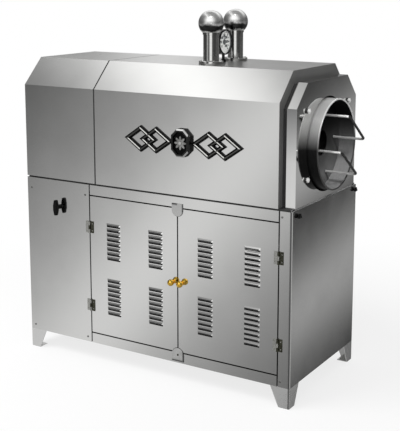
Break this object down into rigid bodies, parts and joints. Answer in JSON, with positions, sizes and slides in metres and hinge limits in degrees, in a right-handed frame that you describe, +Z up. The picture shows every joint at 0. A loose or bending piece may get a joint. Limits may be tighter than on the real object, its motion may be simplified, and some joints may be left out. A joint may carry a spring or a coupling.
{
  "type": "nut roasting machine",
  "caption": "Free-standing drum roaster for nuts: louvred steel cabinet, bevelled hood over a turning drum, round end mouth with a pull-out lid, ball-capped flues.",
  "frame": {"origin": "on the floor, under the middle of the machine's overall box, the lid's handles included", "axes": "+X along the drum axis towards the discharge mouth, +Y to the back, +Z up"},
  "size_m": [1.394, 0.672, 1.497],
  "materials": {
    "polished_steel": "polished stainless sheet",
    "chrome": "bright chrome",
    "frame_steel": "plain mill steel",
    "heat_seal": "black woven heat seal",
    "hinge_steel": "tarnished plate",
    "brass": "polished brass",
    "black_plastic": "moulded gloss",
    "drum_steel": "satin",
    "cast_iron": "as cast",
    "motor_paint": "hammer paint",
    "gas_pipe_steel": "zinc plated",
    "belt_rubber": "matt",
    "dial_white": "matt white",
    "needle_black": "matt black",
    "lens_glass": "clear"
  },
  "bodies": {
    "cabinet": {"back_panel": "polished_steel", "burner": "cast_iron", "cable_gland": "black_plastic", "compartment_wall": "frame_steel", "door_catches": "chrome", "drive_belt": "belt_rubber", "drive_bulkhead": "frame_steel", "drive_front_panel": "polished_steel", "drive_side_panel": "polished_steel", "end_plate": "polished_steel", "end_plate_nuts": "chrome", "end_seal": "heat_seal", "feet": "polished_steel", "floor_pan": "frame_steel", "flue_balls": "chrome", "flues": "chrome", "frame_posts": "frame_steel", "frame_rails": "frame_steel", "front_bottom_rail": "polished_steel", "front_top_rail": "polished_steel", "gas_cock": "brass", "gas_pipe": "gas_pipe_steel", "gear_motor": "motor_paint", "hinge_frame_leaves": "hinge_steel", "hinge_pins": "hinge_steel", "hood_drive_cover": "polished_steel", "hood_end_wall": "polished_steel", "hood_main": "polished_steel", "inner_jacket": "frame_steel", "lattices": "chrome", "medallion": "chrome", "motor_shelf": "frame_steel", "mouth_side_panel": "polished_steel", "mouth_stile": "polished_steel", "rear_bearing": "cast_iron", "roller_brackets": "drum_steel", "switch_body": "black_plastic", "thermometer_case": "chrome", "thermometer_dial": "dial_white", "thermometer_lens": "lens_glass"},
    "drum": {"drum_shell": "drum_steel", "drum_flights": "drum_steel", "drum_shaft": "drum_steel", "drum_pulley": "cast_iron"},
    "mouth_lid": {"lid_disc": "drum_steel", "lid_handles": "drum_steel"},
    "front_roller": {"front_roller": "cast_iron"},
    "rear_roller": {"rear_roller": "cast_iron"},
    "motor_pulley": {"motor_pulley": "cast_iron"},
    "left_door": {"left_door_panel": "polished_steel", "left_door_leaves": "hinge_steel", "left_knob": "brass"},
    "right_door": {"right_door_panel": "polished_steel", "right_door_leaves": "hinge_steel", "right_knob": "brass"},
    "switch_handle": {"switch_handle": "black_plastic"},
    "front_side_knob": {"front_side_knob": "black_plastic"},
    "rear_side_knob": {"rear_side_knob": "black_plastic"},
    "gas_lever": {"gas_lever": "brass"},
    "thermometer_needle": {"thermometer_needle": "needle_black"}
  },
  "joints": [
    {"name": "drum_turn", "type": "hinge", "parent": "cabinet", "child": "drum", "pos_m": [0, 0, 0.987], "axis": [1, 0, 0], "continuous": true},
    {"name": "lid_pull", "type": "slide", "parent": "drum", "child": "mouth_lid", "axis": [1, 0, 0], "range_m": [0, 0.15]},
    {"name": "front_roller_turn", "type": "hinge", "parent": "cabinet", "child": "front_roller", "pos_m": [0.502, -0.12005, 0.81555], "axis": [1, 0, 0], "continuous": true},
    {"name": "rear_roller_turn", "type": "hinge", "parent": "cabinet", "child": "rear_roller", "pos_m": [0.502, 0.12005, 0.81555], "axis": [1, 0, 0], "continuous": true},
    {"name": "motor_pulley_turn", "type": "hinge", "parent": "cabinet", "child": "motor_pulley", "pos_m": [-0.421, 0, 0.43], "axis": [1, 0, 0], "continuous": true},
    {"name": "left_door_swing", "type": "hinge", "parent": "cabinet", "child": "left_door", "pos_m": [-0.359, -0.304, 0.42], "axis": [0, 0, -1], "range_deg": [0, 150]},
    {"name": "right_door_swing", "type": "hinge", "parent": "cabinet", "child": "right_door", "pos_m": [0.531, -0.304, 0.42], "axis": [0, 0, 1], "range_deg": [0, 150]},
    {"name": "switch_turn", "type": "hinge", "parent": "cabinet", "child": "switch_handle", "pos_m": [-0.519, -0.3, 0.659], "axis": [0, -1, 0], "range_deg": [-60, 60]},
    {"name": "front_side_knob_turn", "type": "hinge", "parent": "cabinet", "child": "front_side_knob", "pos_m": [0.583, -0.249, 0.748], "axis": [1, 0, 0], "continuous": true},
    {"name": "rear_side_knob_turn", "type": "hinge", "parent": "cabinet", "child": "rear_side_knob", "pos_m": [0.583, 0.282, 0.752], "axis": [1, 0, 0], "continuous": true},
    {"name": "gas_lever_turn", "type": "hinge", "parent": "cabinet", "child": "gas_lever", "pos_m": [-0.27, -0.22, 0.69], "axis": [0, 1, 0], "range_deg": [0, 90]},
    {"name": "thermometer_needle_turn", "type": "hinge", "parent": "cabinet", "child": "thermometer_needle", "pos_m": [0.117, 0, 1.366], "axis": [1, 0, 0], "range_deg": [-135, 135]}
  ],
  "couplings": [
    {"joint": "front_roller_turn", "follows": "drum_turn", "ratio": -5.9667},
    {"joint": "rear_roller_turn", "follows": "drum_turn", "ratio": -5.9667},
    {"joint": "motor_pulley_turn", "follows": "drum_turn", "ratio": 3}
  ]
}
